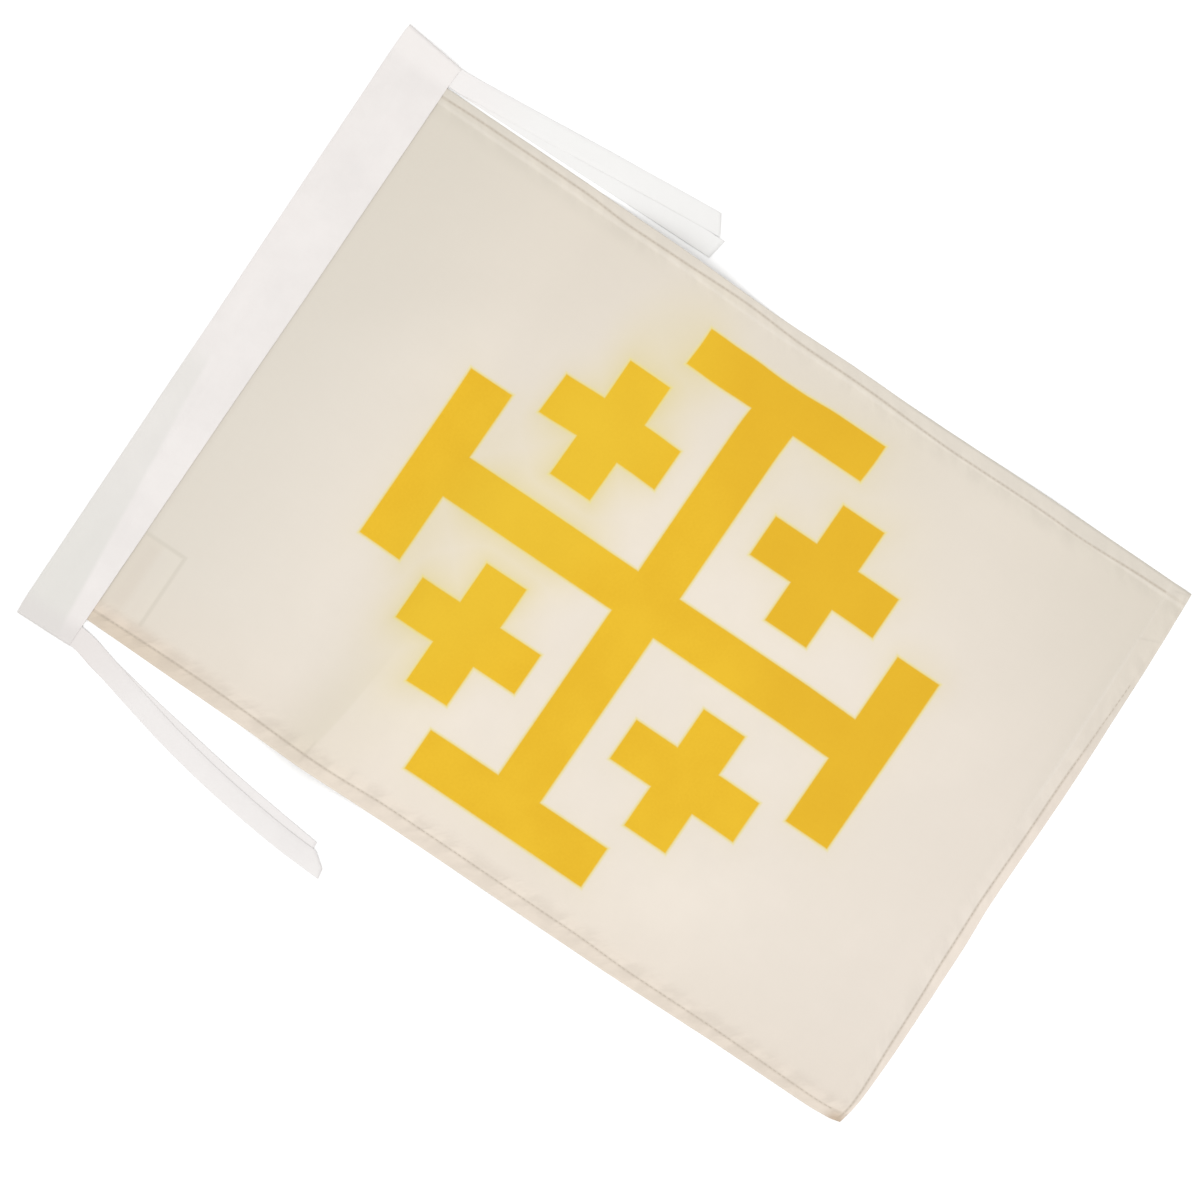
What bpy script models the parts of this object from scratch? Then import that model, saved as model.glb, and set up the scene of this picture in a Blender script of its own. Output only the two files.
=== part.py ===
"""A small national flag of sewn cloth, lying face up.

It is made as such flags are: a printed field hemmed on three sides, a tape folded over the
hoist edge as its heading, a doubled ribbon caught in each end of the heading as a tie, and a
plain label caught behind the lower hoist corner.
X runs from the hoist to the fly, Y from the foot to the head, Z up from the surface.
The tables and sizes are in millimetres, with X = 0 at the heading's seam and Y = 0 at the foot.
"""

import bisect
import math
from collections import namedtuple

import bmesh
import bpy
from mathutils import Vector

MM = 0.001

# Driving sizes
FLY = 427.0  # length of the field that shows
HOIST = 301.5  # height of the field
GAP = 0.3  # air between neighbouring pieces
CLOTH = 1.0  # thickness of one sheet
HEM_THICK = 1.6
HEM_WIDE = 10.0  # hems at the head and the foot
FLY_HEM_WIDE = 12.0
TURN_IN = 17.0  # the field's edge inside the heading
RIBBON_WIDE = 10.3
RIBBON_FOLD_X = -11.0  # where a tie's ribbon turns back inside the heading
FOLD_STEPS = 6  # flats in a folded edge
HEADING_PUFF = 0.5  # the heading's soft crown beside its seam
LABEL_SEAM_X = -1.1  # the label's sides
LABEL_FREE_X = 21.5
LABEL_FOOT = 11.0
LABEL_HEAD = 50.5
LABEL_CLEAR = 1.6  # how far past the label the field stays level

# Height of each layer's underside where layers lie on each other
ON_ONE = CLOTH + GAP
ON_TWO = 2 * ON_ONE
ON_THREE = 3 * ON_ONE
ON_HEM = ON_ONE + HEM_THICK + GAP

# The field's outline, as it lies
Edge = namedtuple("Edge", "x y")
HEAD_EDGE = [
    Edge(x=0, y=302.5),
    Edge(x=80, y=302.3),
    Edge(x=118, y=301.5),
    Edge(x=190, y=300.6),
    Edge(x=230, y=301.0),
    Edge(x=268, y=300.6),
    Edge(x=343, y=301.2),
    Edge(x=427, y=300.9),
]
FOOT_EDGE = [
    Edge(x=0, y=0.9),
    Edge(x=61, y=0.1),
    Edge(x=136, y=-0.4),
    Edge(x=211, y=-0.2),
    Edge(x=287, y=-0.3),
    Edge(x=324, y=0.2),
    Edge(x=362, y=0.8),
    Edge(x=405, y=0.9),
    Edge(x=418, y=1.6),
    Edge(x=427, y=3.6),
]
FLY_EDGE = [
    Edge(x=424.6, y=0),
    Edge(x=427.0, y=14),
    Edge(x=427.8, y=43),
    Edge(x=427.2, y=99),
    Edge(x=426.0, y=128),
    Edge(x=426.5, y=184),
    Edge(x=425.4, y=240),
    Edge(x=424.6, y=269),
    Edge(x=423.0, y=301.5),
]

# The packing crease: a soft ridge across the field, crisper at the foot
Crease = namedtuple("Crease", "y x rise hoist_side fly_side crisp")
CREASE = [
    Crease(y=0, x=121, rise=6.0, hoist_side=36, fly_side=46, crisp=0.7),
    Crease(y=40, x=127, rise=7.6, hoist_side=40, fly_side=50, crisp=0.6),
    Crease(y=81, x=130.5, rise=8.8, hoist_side=44, fly_side=54, crisp=0.5),
    Crease(y=160, x=133, rise=9.0, hoist_side=46, fly_side=58, crisp=0.35),
    Crease(y=301.5, x=135, rise=6.4, hoist_side=48, fly_side=58, crisp=0.2),
]
CREASE_MID = 129.0  # the grid's lines lean with the crease within this reach of here
CREASE_REACH = 62.0

# Shallow billows where the cloth doesn't lie quite flat
Billow = namedtuple("Billow", "x y long wide turn rise")
BILLOWS = [
    Billow(x=60, y=208, long=74, wide=34, turn=35, rise=1.7),
    Billow(x=236, y=268, long=78, wide=26, turn=-5, rise=1.5),
    Billow(x=296, y=58, long=84, wide=32, turn=36, rise=2.2),
    Billow(x=366, y=196, long=66, wide=30, turn=64, rise=1.8),
    Billow(x=404, y=62, long=62, wide=22, turn=88, rise=1.6),
    Billow(x=236, y=12, long=52, wide=20, turn=0, rise=1.2),
    Billow(x=338, y=290, long=48, wide=20, turn=2, rise=1.2),
]

# The heading, section by section from the foot: where its seam and fold lie, where its top layer
# steps down past the field's turned-in edge, and the underside heights of that layer
Tape = namedtuple("Tape", "y fold_y fold_x seam_x fold_rise seam_rise")
HEADING = [
    Tape(y=-13.9, fold_y=-14.6, fold_x=-29.9, seam_x=-1.4, fold_rise=1.5, seam_rise=ON_THREE),
    Tape(y=-8.0, fold_y=-8.4, fold_x=-30.4, seam_x=-1.5, fold_rise=2.0, seam_rise=ON_THREE),
    Tape(y=-2.6, fold_y=-2.8, fold_x=-30.5, seam_x=-1.5, fold_rise=2.2, seam_rise=ON_THREE),
    Tape(y=1.0, fold_y=1.0, fold_x=-30.5, seam_x=-1.5, fold_rise=2.0, seam_rise=ON_HEM + 0.3),
    Tape(y=10.0, fold_y=10.0, fold_x=-30.6, seam_x=-1.5, fold_rise=1.7, seam_rise=ON_HEM),
    Tape(y=14.0, fold_y=14.0, fold_x=-30.6, seam_x=-1.5, fold_rise=1.6, seam_rise=ON_TWO + 0.1),
    Tape(y=48.0, fold_y=48.0, fold_x=-30.7, seam_x=-1.4, fold_rise=1.9, seam_rise=ON_TWO),
    Tape(y=86.0, fold_y=86.0, fold_x=-30.8, seam_x=-1.3, fold_rise=1.4, seam_rise=ON_TWO),
    Tape(y=112.0, fold_y=112.0, fold_x=-30.9, seam_x=-1.2, fold_rise=2.3, seam_rise=ON_TWO),
    Tape(y=146.0, fold_y=146.0, fold_x=-30.9, seam_x=-1.0, fold_rise=1.5, seam_rise=ON_TWO),
    Tape(y=190.0, fold_y=190.0, fold_x=-31.2, seam_x=-0.7, fold_rise=1.8, seam_rise=ON_TWO),
    Tape(y=238.0, fold_y=238.0, fold_x=-31.5, seam_x=-0.7, fold_rise=1.4, seam_rise=ON_TWO),
    Tape(y=286.0, fold_y=286.0, fold_x=-31.7, seam_x=-0.6, fold_rise=1.7, seam_rise=ON_TWO + 0.1),
    Tape(y=291.0, fold_y=291.2, fold_x=-31.8, seam_x=-0.6, fold_rise=1.9, seam_rise=ON_HEM),
    Tape(y=303.2, fold_y=304.0, fold_x=-31.8, seam_x=-0.6, fold_rise=2.2, seam_rise=ON_THREE),
    Tape(y=309.0, fold_y=311.6, fold_x=-31.7, seam_x=-0.4, fold_rise=1.9, seam_rise=ON_THREE),
    Tape(y=313.8, fold_y=317.6, fold_x=-31.3, seam_x=0.0, fold_rise=1.5, seam_rise=ON_THREE),
]
STEP_FOOT_X = -21.4  # the step in the top layer, outside the field's turned-in edge
STEP_TOP_X = -17.9

# The tails of the ties, from the seam to the free end: the ribbon's middle, and the height of the
# underside at its edge towards the foot and its edge towards the head
Tail = namedtuple("Tail", "x y foot_rise head_rise")
UPPER_UNDER_TAIL = [
    Tail(x=-9.0, y=308.5, foot_rise=ON_ONE, head_rise=ON_ONE),
    Tail(x=1.0, y=308.5, foot_rise=ON_ONE, head_rise=ON_ONE),
    Tail(x=14.0, y=308.6, foot_rise=0, head_rise=0),
    Tail(x=60.0, y=309.1, foot_rise=0, head_rise=0),
    Tail(x=100.0, y=309.8, foot_rise=0, head_rise=0),
    Tail(x=149.0, y=310.6, foot_rise=0, head_rise=0),
]
UPPER_OVER_TAIL = [
    Tail(x=-9.0, y=308.6, foot_rise=ON_TWO, head_rise=ON_TWO),
    Tail(x=1.0, y=308.6, foot_rise=ON_TWO, head_rise=ON_TWO),
    Tail(x=18.0, y=309.9, foot_rise=ON_ONE, head_rise=ON_ONE),
    Tail(x=62.0, y=313.8, foot_rise=ON_ONE, head_rise=ON_ONE),
    Tail(x=79.0, y=315.5, foot_rise=2.1, head_rise=0.7),
    Tail(x=96.0, y=317.1, foot_rise=1.9, head_rise=0),
    Tail(x=125.0, y=319.6, foot_rise=1.5, head_rise=0),
    Tail(x=146.0, y=321.2, foot_rise=ON_ONE, head_rise=0),
]
LOWER_UNDER_TAIL = [
    Tail(x=-9.0, y=-8.2, foot_rise=ON_ONE, head_rise=ON_ONE),
    Tail(x=0.5, y=-8.5, foot_rise=ON_ONE, head_rise=ON_ONE),
    Tail(x=15.7, y=-12.0, foot_rise=0, head_rise=0),
    Tail(x=38.6, y=-16.1, foot_rise=0, head_rise=0),
    Tail(x=65.6, y=-20.4, foot_rise=0, head_rise=0),
    Tail(x=92.6, y=-24.5, foot_rise=0, head_rise=0),
    Tail(x=119.6, y=-27.7, foot_rise=0, head_rise=0),
    Tail(x=149.0, y=-30.9, foot_rise=0, head_rise=0),
]
LOWER_OVER_TAIL = [
    Tail(x=-9.0, y=-8.2, foot_rise=ON_TWO, head_rise=ON_TWO),
    Tail(x=0.5, y=-8.5, foot_rise=ON_TWO, head_rise=ON_TWO),
    Tail(x=21.0, y=-13.0, foot_rise=ON_ONE, head_rise=ON_ONE),
    Tail(x=41.0, y=-18.0, foot_rise=ON_ONE, head_rise=1.5),
    Tail(x=65.6, y=-23.7, foot_rise=1.0, head_rise=1.9),
    Tail(x=98.0, y=-29.3, foot_rise=0.8, head_rise=2.1),
    Tail(x=133.0, y=-33.2, foot_rise=0.8, head_rise=2.1),
    Tail(x=150.0, y=-34.1, foot_rise=0.8, head_rise=2.0),
    Tail(x=158.0, y=-34.4, foot_rise=0.3, head_rise=1.2),
]

# Where the scissors cut each tail: its foot edge, its middle and its head edge
Cut = namedtuple("Cut", "foot middle head")
UPPER_UNDER_CUT = Cut(foot=146.5, middle=147.6, head=148.5)
UPPER_OVER_CUT = Cut(foot=145.2, middle=142.8, head=140.1)
LOWER_UNDER_CUT = Cut(foot=148.2, middle=147.8, head=147.0)
LOWER_OVER_CUT = Cut(foot=157.6, middle=156.6, head=149.0)
TAIL_STEPS = 15  # lengths that a tail is divided into

# Looks: sRGB colour of each piece, as seen in plain light
CREAM = (0.90, 0.86, 0.81)
TAPE_WHITE = (0.94, 0.92, 0.91)
RIBBON_WHITE = (0.97, 0.97, 0.96)
LABEL_WHITE = (0.93, 0.92, 0.88)


def fade(distance, full, gone):
    """1 up to the distance full, 0 from the distance gone, and a smooth slope between."""
    t = min(max((distance - full) / (gone - full), 0), 1)
    return 1 - t * t * (3 - 2 * t)


def slope_at(places, values, k):
    """The slope of a table's smooth curve at row k: flat at a turning point, so it never overshoots."""
    if k in (0, len(places) - 1):
        k = min(max(k, 1), len(places) - 1)
        return (values[k] - values[k - 1]) / (places[k] - places[k - 1])
    before = (values[k] - values[k - 1]) / (places[k] - places[k - 1])
    after = (values[k + 1] - values[k]) / (places[k + 1] - places[k])
    return 2 * before * after / (before + after) if before * after > 0 else 0


def read(rows, by, column, at):
    """A column's value at a place between the rows of a table, on a smooth curve through them."""
    places = [getattr(row, by) for row in rows]
    values = [getattr(row, column) for row in rows]
    if at <= places[0] or at >= places[-1]:
        return values[0] if at <= places[0] else values[-1]
    k = bisect.bisect_right(places, at) - 1
    step = places[k + 1] - places[k]
    t = (at - places[k]) / step
    leaving = step * slope_at(places, values, k)
    arriving = step * slope_at(places, values, k + 1)
    start = values[k] * (2 * t**3 - 3 * t**2 + 1) + leaving * (t**3 - 2 * t**2 + t)
    return start + values[k + 1] * (3 * t**2 - 2 * t**3) + arriving * (t**3 - t**2)


def stations(start, *stretches):
    """Places along a line: each stretch is the place where it ends and the longest step in it."""
    places = [start]
    for end, longest in stretches:
        count = math.ceil((end - places[-1]) / longest - 0.01)
        first = places[-1]
        places += [first + (end - first) * (k + 1) / count for k in range(count)]
    return places


def sheet(name, along, across, place):
    """A grid primitive whose points lie where place(along, across) puts them, as one object."""
    bm = bmesh.new()
    bmesh.ops.create_grid(bm, x_segments=len(along) - 1, y_segments=len(across) - 1, size=1)
    for vert in bm.verts:
        i = round((vert.co.x + 1) / 2 * (len(along) - 1))
        j = round((vert.co.y + 1) / 2 * (len(across) - 1))
        vert.co = Vector(place(along[i], across[j])) * MM
    mesh = bpy.data.meshes.new(name)
    bm.to_mesh(mesh)
    bm.free()
    mesh.shade_smooth()
    mesh.set_sharp_from_angle(angle=math.radians(40))
    return bpy.data.objects.new(name, mesh)


def thicken(piece, thickness, offset):
    """Gives an open sheet its thickness: offset 1 is all above it, 0 is half on each side."""
    wall = piece.modifiers.new("cloth", "SOLIDIFY")
    wall.thickness = thickness * MM
    wall.offset = offset
    wall.use_even_offset = True
    return wall


def fabric(name, srgb, roughness):
    """A plain fabric finish."""
    material = bpy.data.materials.new(name)
    material.use_nodes = True
    shader = material.node_tree.nodes["Principled BSDF"]
    linear = [((c + 0.055) / 1.055) ** 2.4 for c in srgb]
    shader.inputs["Base Color"].default_value = (*linear, 1)
    shader.inputs["Roughness"].default_value = roughness
    shader.inputs["Metallic"].default_value = 0
    return material


# The field


def crease_rise(x, y):
    """Height of the packing crease: a rounded ridge that is crisper at the foot."""
    aside = x - read(CREASE, "y", "x", y)
    reach = read(CREASE, "y", "fly_side" if aside > 0 else "hoist_side", y)
    share = min(abs(aside) / reach, 1)
    crisp = read(CREASE, "y", "crisp", y)
    profile = crisp * (1 - share) ** 2 + (1 - crisp) * math.cos(math.pi / 2 * share) ** 2
    return read(CREASE, "y", "rise", y) * profile


def billow_rise(x, y):
    """Height of the shallow billows at a point."""
    height = 0
    for b in BILLOWS:
        c, s = math.cos(math.radians(b.turn)), math.sin(math.radians(b.turn))
        dx, dy = x - b.x, y - b.y
        out = math.hypot((c * dx + s * dy) / b.long, (c * dy - s * dx) / b.wide)
        if out < 1:
            height += b.rise * math.cos(math.pi / 2 * out) ** 2
    return height


def field_rise(x, y):
    """Height of the field's underside: on the heading's back layer, over the label, or free."""
    from_label = math.hypot(max(x - LABEL_FREE_X, 0), max(LABEL_FOOT - y, y - LABEL_HEAD, 0))
    held = ON_ONE * max(fade(x, 1.5, 26), fade(from_label, 1.5 * LABEL_CLEAR, 9))
    return held + crease_rise(x, y) + billow_rise(x, y)


def field_point(along, up):
    """A point of the field's underside, from its place along the fly and up the hoist."""
    lean = fade(abs(along - CREASE_MID), 0, CREASE_REACH)
    x = along + lean * (read(CREASE, "y", "x", up) - CREASE_MID)
    x *= read(FLY_EDGE, "y", "x", up) / FLY if along > 0 else 1
    foot = read(FOOT_EDGE, "x", "y", x)
    y = foot + (read(HEAD_EDGE, "x", "y", x) - foot) * up / HOIST
    return x, y, field_rise(x, y)


def make_field():
    """The printed cloth: one sheet with its thicker turned hems."""
    edge = 0.5  # half the width of the hem's step
    fly_hem = FLY - FLY_HEM_WIDE
    along = stations(
        -TURN_IN, (-1, 8), (5, 3), (LABEL_FREE_X + LABEL_CLEAR, 6), (30, 4), (72, 14), (182, 6.5),
        (fly_hem - edge, 15), (fly_hem + edge, 1), (FLY, 6),
    )
    up = stations(
        0, (HEM_WIDE - edge, 5), (HEM_WIDE + edge, 1), (LABEL_HEAD + LABEL_CLEAR, 14), (60, 5),
        (HOIST - HEM_WIDE - edge, 15), (HOIST - HEM_WIDE + edge, 1), (HOIST, 5),
    )
    field = sheet("field", along, up, field_point)
    hem = field.vertex_groups.new(name="hem")
    columns = len(along)
    for index in range(len(field.data.vertices)):
        s, t = along[index % columns], up[index // columns]
        if s > fly_hem or t < HEM_WIDE or t > HOIST - HEM_WIDE:
            hem.add([index], 1, "REPLACE")
    wall = thicken(field, HEM_THICK, 1)
    wall.vertex_group = hem.name
    wall.thickness_vertex_group = CLOTH / HEM_THICK
    wall.use_even_offset = False
    field.data.materials.append(fabric("printed_cloth", CREAM, 0.8))
    return field


# The heading


def heading_section(up):
    """The folded tape's middle line at a height up the hoist: back layer, fold, top layer."""
    fold_x = read(HEADING, "y", "fold_x", up)
    seam_x = read(HEADING, "y", "seam_x", up)
    back = CLOTH / 2
    outer = read(HEADING, "y", "fold_rise", up) + CLOTH / 2
    inner = read(HEADING, "y", "seam_rise", up) + CLOTH / 2
    radius = (outer - back) / 2
    centre_x = fold_x + CLOTH / 2 + radius
    line = [(seam_x, back), ((seam_x + centre_x) / 2, back)]
    for k in range(FOLD_STEPS + 1):
        turn = math.pi * k / FOLD_STEPS
        line.append((centre_x - radius * math.sin(turn), back + radius * (1 - math.cos(turn))))
    line += [
        (STEP_FOOT_X, outer),
        (STEP_TOP_X, inner + HEADING_PUFF),
        ((STEP_TOP_X + seam_x) / 2, inner + HEADING_PUFF),
        (seam_x - 3, inner + HEADING_PUFF / 2),
        (seam_x, inner),
    ]
    return line


def heading_point(up, k):
    """Point k of the folded tape's section, slanted with the tape's cut ends."""
    x, z = heading_section(up)[k]
    fold_x = read(HEADING, "y", "fold_x", up)
    seam_x = read(HEADING, "y", "seam_x", up)
    share = (seam_x - x) / (seam_x - fold_x)
    y = up + share * (read(HEADING, "y", "fold_y", up) - up)
    return x, y, z


def make_heading():
    """The white tape folded over the field's hoist edge and past both its ends."""
    first, last = HEADING[0].y, HEADING[-1].y
    up = stations(
        first, (-2.6, 6), (1, 3.6), (10, 9), (14, 4), (286, 17), (291, 5), (303.2, 6.1), (last, 6),
    )
    section = range(len(heading_section(first)))
    heading = sheet("heading", up, section, heading_point)
    thicken(heading, CLOTH, 0)
    heading.data.materials.append(fabric("heading_tape", TAPE_WHITE, 0.85))
    return heading


# The ties


def tail_point(rows, cut, share, side):
    """A point of a tail's middle sheet: share of its length, and side -1 foot, 0 middle, 1 head."""
    start = rows[0].x
    end = (cut.foot, cut.middle, cut.head)[side + 1]
    x = start + (end - start) * share
    middle = read(rows, "x", "y", x)
    slope = read(rows, "x", "y", x + 1) - read(rows, "x", "y", x - 1)
    out = Vector((-slope / 2, 1)).normalized() * side * RIBBON_WIDE / 2
    foot, head = read(rows, "x", "foot_rise", x), read(rows, "x", "head_rise", x)
    rise = (foot + head) / 2 + side * (head - foot) / 2
    return x + out.x, middle + out.y, rise + CLOTH / 2


def tie(name, under, under_cut, over, over_cut):
    """One ribbon doubled: along the under tail to its fold in the heading, and back along the over."""
    shares = [k / TAIL_STEPS for k in range(TAIL_STEPS + 1)]
    along = [("under", share) for share in reversed(shares)]
    along += [("fold", (k + 0.5) / FOLD_STEPS) for k in range(FOLD_STEPS)]
    along += [("over", share) for share in shares]
    root = under[0]
    radius = ON_ONE / 2

    def place(station, side):
        part, share = station
        if part == "under":
            return tail_point(under, under_cut, share, side)
        if part == "over":
            return tail_point(over, over_cut, share, side)
        turn = math.pi * share
        z = root.foot_rise + CLOTH / 2 + radius * (1 - math.cos(turn))
        return RIBBON_FOLD_X - radius * math.sin(turn), root.y + side * RIBBON_WIDE / 2, z

    piece = sheet(name, along, (-1, 0, 1), place)
    thicken(piece, CLOTH, 0)
    piece.data.materials.append(fabric(name + "_ribbon", RIBBON_WHITE, 0.6))
    return piece


# The label


def make_label():
    """The plain label behind the field, its side at the seam."""
    sides = (LABEL_SEAM_X, LABEL_FREE_X)
    label = sheet("label", sides, (LABEL_FOOT, LABEL_HEAD), lambda x, y: (x, y, 0))
    thicken(label, CLOTH, 1)
    label.data.materials.append(fabric("label_cloth", LABEL_WHITE, 0.7))
    return label


def stand_on_origin(pieces):
    """Parents the pieces to one empty, placed so that the middle of their base is the origin."""
    bpy.context.view_layer.update()
    graph = bpy.context.evaluated_depsgraph_get()
    corners = [Vector(c) for piece in pieces for c in piece.evaluated_get(graph).bound_box]
    low = [min(c[axis] for c in corners) for axis in range(3)]
    high = [max(c[axis] for c in corners) for axis in range(3)]
    middle = bpy.data.objects.new("flag_middle", None)
    middle.location = (-(low[0] + high[0]) / 2, -(low[1] + high[1]) / 2, -low[2])
    for piece in pieces:
        piece.parent = middle
    return middle


def main():
    for old in list(bpy.data.objects):
        bpy.data.objects.remove(old)
    flag = bpy.data.collections.new("national_flag")
    bpy.context.scene.collection.children.link(flag)
    pieces = [
        make_field(),
        make_heading(),
        tie("upper_tie", UPPER_UNDER_TAIL, UPPER_UNDER_CUT, UPPER_OVER_TAIL, UPPER_OVER_CUT),
        tie("lower_tie", LOWER_UNDER_TAIL, LOWER_UNDER_CUT, LOWER_OVER_TAIL, LOWER_OVER_CUT),
        make_label(),
    ]
    for piece in pieces:
        flag.objects.link(piece)
    flag.objects.link(stand_on_origin(pieces))


main()
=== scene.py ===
"""The looks of a small sewn national flag that lies face up on a pale floor.

Every piece is a thin cloth on the folds of its CAD solid: the printed and hemmed field, the folded
tape of the heading, a doubled ribbon at each end of it, and the plain label behind the field.
The tables and sizes are in millimetres in the flag's own plan: X = 0 at the heading's seam,
Y = 0 at the foot, as in the CAD source. SHIFT carries them to the frame.
"""

import bisect
import math
from collections import namedtuple
from functools import reduce

import bmesh
import bpy
from mathutils import Matrix, Vector, noise

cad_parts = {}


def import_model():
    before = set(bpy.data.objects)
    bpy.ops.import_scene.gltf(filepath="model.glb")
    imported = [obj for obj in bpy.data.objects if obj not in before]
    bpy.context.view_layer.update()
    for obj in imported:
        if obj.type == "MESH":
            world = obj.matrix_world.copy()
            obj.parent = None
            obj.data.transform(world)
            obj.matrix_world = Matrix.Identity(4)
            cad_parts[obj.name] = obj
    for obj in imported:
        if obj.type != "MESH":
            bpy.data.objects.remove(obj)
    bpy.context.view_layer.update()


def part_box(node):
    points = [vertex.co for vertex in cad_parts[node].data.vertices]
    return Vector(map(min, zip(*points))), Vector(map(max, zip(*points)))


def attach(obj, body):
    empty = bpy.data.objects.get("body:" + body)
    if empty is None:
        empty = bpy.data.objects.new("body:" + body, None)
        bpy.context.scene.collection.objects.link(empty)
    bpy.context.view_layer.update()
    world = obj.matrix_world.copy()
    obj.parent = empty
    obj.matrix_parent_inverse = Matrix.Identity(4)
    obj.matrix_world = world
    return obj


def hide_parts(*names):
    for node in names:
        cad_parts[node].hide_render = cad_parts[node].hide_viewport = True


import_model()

MM = 0.001


def table(kind, *rows):
    """A table of rows of one kind, which names their columns."""
    return [kind(*row) for row in rows]


# Sizes shared with the CAD solids
FLY = 427.0
HOIST = 301.5
HEM_WIDE = 10.0
TURN_IN = 17.0
RIBBON_WIDE = 10.3
RIBBON_FOLD_X = -11.0
STEP_FOOT_X = -21.4
STEP_TOP_X = -17.9
LABEL_SEAM_X = -1.1
LABEL_FREE_X = 21.5
LABEL_FOOT = 11.0
LABEL_HEAD = 50.5
LABEL_HALF_X = (LABEL_FREE_X - LABEL_SEAM_X) / 2
LABEL_HALF_Y = (LABEL_HEAD - LABEL_FOOT) / 2
# How high the solids' sheets lie on one layer, on two, on the ribbons and on a hem
ON_ONE, ON_TWO, ON_RIBBONS, ON_HEM = 1.3, 2.6, 2.95, 3.2

# Real layers are thinner than the solids, so heights of layers on each other shrink by these
LAYERS = 0.28
RIBBON_LAYERS = 0.155  # on the floor, where one ribbon lies on the other
OVER_ROOT = 0.22  # for the upper of two ribbons between the heading's layers

# Thickness of the real cloths
CLOTH = 0.2
HEM_THICK = 0.48
TAPE = 0.32
RIBBON = 0.18
FLOOR_GAP = 0.04

# The hems: how wide they are, where their stitch rows stop showing, and their gathers' height
HEAD_HEM = 8.0
FOOT_HEM = 9.6
FLY_HEM = 11.0
HEAD_ROW_END = 412.0
FLY_ROW_END = 250.0
PUCKER = 0.3
SEWN_DENT = 0.15  # how far a stitch row draws the hem in
SEWN_HALF = 1.1  # half the width of that dent

# Sewing thread
STITCH_PITCH = 2.6
STITCH_LONG = 2.1
THREAD_WIDE = 0.34
THREAD_STEP = 0.4  # how finely the stitches follow the cloth
THREAD_RISE = 0.02  # how far the middle of the thread lies above the cloth

# The tape: its crown, its dents at the seam and at its free edge, and the loft of its fold
TAPE_PAST = 0.7  # how far the free edge reaches past its solid's, over the seam
TAPE_CROWN = 0.35
TAPE_SEAM_DENT = 0.08
TAPE_SEAM_IN = 2.2
TAPE_DROOP = 0.10
TAPE_LOFT = 0.25

# How far the loose tails stand off the floor
TAIL_LIFT = 0.13

# Weaves: warp and weft threads for each millimetre, and how uneven the threads are
CLOTH_WEAVE = (3.4, 3.0, 0.35)
TAPE_WEAVE = (2.6, 2.2, 0.4)
RIBBON_WEAVE = (4.2, 2.4, 0.3)
LABEL_WEAVE = (5.0, 5.0, 0.2)
THREAD_ROUNDNESS = 0.6
SLUBS_ACROSS, SLUBS_ALONG = 520, 36  # changes of thickness for each metre
WEAVE_DEPTH = 0.03
PINCH_DEPTH = 0.4
PINCHES = 135.0  # gathers for each metre of hem
PINCH_SLANT = 0.09
GROOVE_HALF = 1.05  # half the width of the groove at a stitch row
RIBBON_MIDDLE = 160.0  # where along the flat ribbon its fold in the heading lies

# From the plan to the frame: the label's low corner is known in both
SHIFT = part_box("label")[0] / MM - Vector((LABEL_SEAM_X, LABEL_FOOT, 0))

# The field's outline, as it lies
Edge = namedtuple("Edge", "x y")
HEAD_EDGE = table(
    Edge, (0, 302.5), (80, 302.3), (118, 301.5), (190, 300.6), (230, 301), (268, 300.6),
    (343, 301.2), (427, 300.9),
)
FOOT_EDGE = table(
    Edge, (0, 0.9), (61, 0.1), (136, -0.4), (211, -0.2), (287, -0.3), (324, 0.2), (362, 0.8),
    (405, 0.9), (418, 1.6), (427, 3.6),
)
FLY_EDGE = table(
    Edge, (424.6, 0), (427, 14), (427.8, 43), (427.2, 99), (426, 128), (426.5, 184),
    (425.4, 240), (424.6, 269), (423, 301.5),
)

# How far in from its edge each hem's stitch row runs, which is never quite straight
Row = namedtuple("Row", "at inset")
HEAD_ROW = table(
    Row, (0, 4.7), (24, 4.1), (80, 4.1), (108, 5.3), (136, 5), (174, 3.5), (211, 5.2), (250, 5.5),
    (296, 7.1), (343, 7.2), (362, 7.6), (400, 6.2), (427, 5.6),
)
FOOT_ROW = table(
    Row, (0, 5.5), (24, 6.3), (61, 7), (99, 6.5), (136, 6.3), (165, 7.1), (268, 7.1), (305, 6),
    (343, 5.7), (381, 5), (427, 4.4),
)
FLY_ROW = table(
    Row, (0, 2.6), (14, 2.3), (43, 3.7), (72, 4.4), (99, 5.1), (120, 4.7), (156, 4.5), (190, 4.7),
    (212, 3.9), (254, 2.1), (285, 1.4), (301.5, 1.4),
)

# The packing crease: a soft ridge across the field, crisper at the foot
Crease = namedtuple("Crease", "y x rise hoist_side fly_side crisp")
CREASE = table(
    Crease, (0, 121, 6, 36, 46, 0.7), (40, 127, 7.6, 40, 50, 0.6), (81, 130.5, 8.8, 44, 54, 0.5),
    (160, 133, 9, 46, 58, 0.35), (301.5, 135, 6.4, 48, 58, 0.2),
)
CREASE_MID = 129.0
CREASE_REACH = 62.0
CREST = 6.0  # how far round its top the crease is rounded off

# Soft swellings, or troughs where rise is negative, that cloth keeps when it isn't pressed
Billow = namedtuple("Billow", "x y long wide turn rise")
BILLOWS = table(
    Billow, (60, 208, 74, 34, 35, 1.7), (236, 268, 78, 26, -5, 1.5), (296, 58, 84, 32, 36, 2.2),
    (366, 196, 66, 30, 64, 1.8), (404, 62, 62, 22, 88, 1.6), (236, 12, 52, 20, 0, 1.2),
    (338, 290, 48, 20, 2, 1.2),
)

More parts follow.
